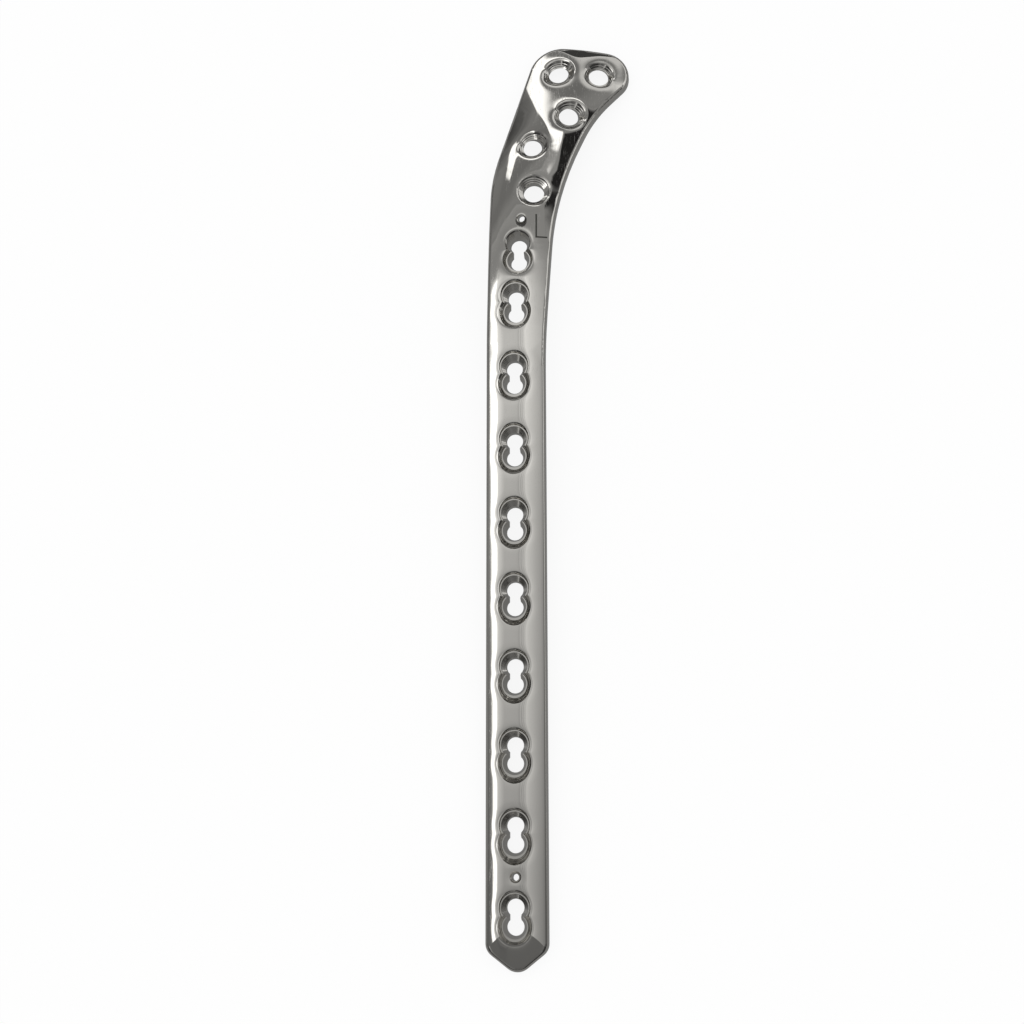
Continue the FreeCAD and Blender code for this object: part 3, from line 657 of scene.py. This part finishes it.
link(tree, tree.nodes["Principled BSDF"].outputs[0], mix.inputs[1])
link(tree, glow.outputs[0], mix.inputs[2])
link(tree, mix.outputs[0], tree.nodes["Material Output"].inputs["Surface"])
floorMesh.materials.append(paint)

# Studio tent: a far dome whose glow depends on the direction, seen only in reflections.
# Leans are in degrees from straight up, in the plate's own frame
tentValues = {
    "radius": 30,
    "leftGlow": [(-90, 0.2), (-60, 0.2), (-38, 0.14), (-33, 0.3), (-28, 0.46), (-20, 0.58),
                 (-12, 0.72), (-7.5, 0.82), (-6, 0.58), (-5, 0.76), (-4, 0.44), (-2.6, 0.7),
                 (-1.4, 0.42), (0, 0.66), (1.2, 0.46), (4, 0.55), (10, 0.56),
                 (17, 0.57), (20, 0.66), (23, 0.76), (26, 0.84), (29, 0.92), (31, 1.0), (35, 0.9),
                 (37.5, 0.4), (40, 0.25), (46, 0.18), (60, 0.22), (90, 0.3)],
    "flatGlow": 0.58, "flatShare": [(-90, 0), (24.5, 0), (27.5, 1), (90, 1)],
    "awayShare": [(-90, 0.2), (-45, 0.25), (-30, 0.3), (-10, 0.6), (0.6, 0.76), (3.7, 0.88),
                  (8.8, 1.0), (14.2, 1.08), (19.4, 1.33), (24, 1.25), (26.5, 0.8), (28, 0.58),
                  (31.5, 0.54), (36, 0.6), (40.6, 0.72), (46, 0.5), (50, 0.5), (53.5, 0.55),
                  (66, 0.62), (70, 0.45), (74, 0.1), (80, 0.04), (90, 0.04)],
    "window": [(28.5, 0), (30.5, 0.5), (32, 1.4), (36.6, 1.4), (37.6, 0.8), (38.2, 0)],
    "windowShare": [(-90, 0), (-20, 0.4), (0, 1), (24.5, 1), (27, 0), (90, 0)],
    # a long strip light that stands slanting behind the head
    "strip": {"from": 44.0, "slope": 0.4, "glow": [(-90, 0), (-2.0, 0), (-1.2, 1.6), (1.0, 1.6),
                                                (2.3, 0), (90, 0)],
              "share": [(-90, 0), (-19, 0), (-15, 1), (49, 1), (54, 0), (90, 0)]},
    "dark": {"left": (-47, -24), "away": (29.8, 38), "soft": 2.0, "glow": 0.06},
    # the tent's far wall is lighter above this slanting line
    "wall": {"past": 38.0, "from": 53.0, "slope": 0.29, "glow": [(-90, 0.7), (-1.2, 0.7), (1.2, 2.5),
                                                   (90, 2.5)]},
}


# A value along straight lines between stops of angle and value
def curve(tree, degrees, stops):
    share = math2(tree, "MULTIPLY_ADD", degrees, 1 / 180, 0.5)
    top = max(value for _, value in stops)
    places = [((angle + 90) / 180, (value / top,) * 3) for angle, value in stops]
    return math2(tree, "MULTIPLY", ramp(tree, share, places), float(top))


# 1 between low and high, falling to 0 over a soft edge
def softBand(tree, value, low, high, soft):
    above = math2(tree, "SUBTRACT", value, float(low))
    under = math2(tree, "SUBTRACT", float(high), value)
    rise = math2(tree, "DIVIDE", above, float(soft), clamp=True)
    fall = math2(tree, "DIVIDE", under, float(soft), clamp=True)
    return math2(tree, "MULTIPLY", rise, fall)


def tentMaterial():
    material = bpy.data.materials.new("tentGlow")
    material.use_nodes = True
    tree = material.node_tree
    tree.nodes.remove(tree.nodes["Principled BSDF"])
    output = tree.nodes["Material Output"]
    place = tree.nodes.new("ShaderNodeTexCoord").outputs["Object"]
    x, y, z = split(tree, useGroup(tree, drawing, Vector=place).outputs[0])
    degrees = 180 / math.pi
    left = math2(tree, "ARCTAN2", math2(tree, "MULTIPLY", x, -1.0), z)
    left = math2(tree, "MULTIPLY", left, degrees)
    away = math2(tree, "MULTIPLY", math2(tree, "ARCTAN2", y, z), degrees)
    side = curve(tree, left, tentValues["leftGlow"])
    flat = math2(tree, "SUBTRACT", tentValues["flatGlow"], side)
    side = math2(tree, "MULTIPLY_ADD", flat, curve(tree, away, tentValues["flatShare"]), side)
    base = math2(tree, "MULTIPLY", side, curve(tree, away, tentValues["awayShare"]))
    wall = tentValues["wall"]
    offset = math2(tree, "SUBTRACT", away, math2(tree, "MULTIPLY_ADD", left, wall["slope"],
                                                 wall["from"]))
    far = math2(tree, "GREATER_THAN", away, wall["past"])
    lighter = math2(tree, "SUBTRACT", curve(tree, offset, wall["glow"]), 1.0)
    base = math2(tree, "MULTIPLY", base, math2(tree, "MULTIPLY_ADD", far, lighter, 1.0))
    dark = tentValues["dark"]
    card = math2(tree, "MULTIPLY", softBand(tree, left, *dark["left"], dark["soft"]),
                 softBand(tree, away, *dark["away"], dark["soft"]))
    base = math2(tree, "MULTIPLY", base, math2(tree, "MULTIPLY_ADD", card, dark["glow"] - 1, 1.0))
    window = math2(tree, "MULTIPLY", curve(tree, left, tentValues["window"]),
                   curve(tree, away, tentValues["windowShare"]))
    strip = tentValues["strip"]
    offset = math2(tree, "SUBTRACT", away, math2(tree, "MULTIPLY_ADD", left, strip["slope"],
                                                 strip["from"]))
    window = math2(tree, "ADD", window, math2(tree, "MULTIPLY", curve(tree, offset, strip["glow"]),
                                              curve(tree, left, strip["share"])))
    emission = tree.nodes.new("ShaderNodeEmission")
    link(tree, math2(tree, "ADD", base, window), emission.inputs["Strength"])
    link(tree, emission.outputs[0], output.inputs["Surface"])
    return material


tentMesh = bpy.data.meshes.new("tent")
work = bmesh.new()
bmesh.ops.create_uvsphere(work, u_segments=64, v_segments=32, radius=tentValues["radius"])
bmesh.ops.bisect_plane(work, geom=work.verts[:] + work.edges[:] + work.faces[:],
                       plane_co=(0, 0, -0.01), plane_no=(0, 0, 1), clear_inner=True)
bmesh.ops.reverse_faces(work, faces=work.faces[:])
work.to_mesh(tentMesh)
work.free()
tent = bpy.data.objects.new("tent", tentMesh)
bpy.context.scene.collection.objects.link(tent)
tentMesh.materials.append(tentMaterial())
tent.visible_camera = False
tent.visible_diffuse = False
tent.visible_shadow = False

# Soft light for the floor and the walls of the holes
world = bpy.data.worlds.new("studio")
world.use_nodes = True
bpy.context.scene.world = world
world.node_tree.nodes["Background"].inputs["Color"].default_value = (1, 1, 1, 1)
world.node_tree.nodes["Background"].inputs["Strength"].default_value = 1.0

# Camera: the fitted view, moved with the plate's rest
view = {"focalPixels": 1646, "pictureWidth": 1024, "sensorWidth": 36,
        "place": (36.9, 4.4, 377.1), "turnDegrees": (13.22, 5.79, -0.08)}
camera = bpy.data.objects.new("camera", bpy.data.cameras.new("camera"))
bpy.context.scene.collection.objects.link(camera)
camera.data.sensor_width = view["sensorWidth"]
camera.data.lens = view["focalPixels"] / view["pictureWidth"] * view["sensorWidth"]
camera.data.clip_start = 0.01
turn = Euler([math.radians(angle) for angle in view["turnDegrees"]], "XYZ").to_matrix().to_4x4()
place = Vector(view["place"]) * millimetre
camera.matrix_world = restMatrix @ Matrix.Translation(place) @ turn
bpy.context.scene.camera = camera
bpy.context.scene.view_settings.view_transform = "Standard"

print("done")
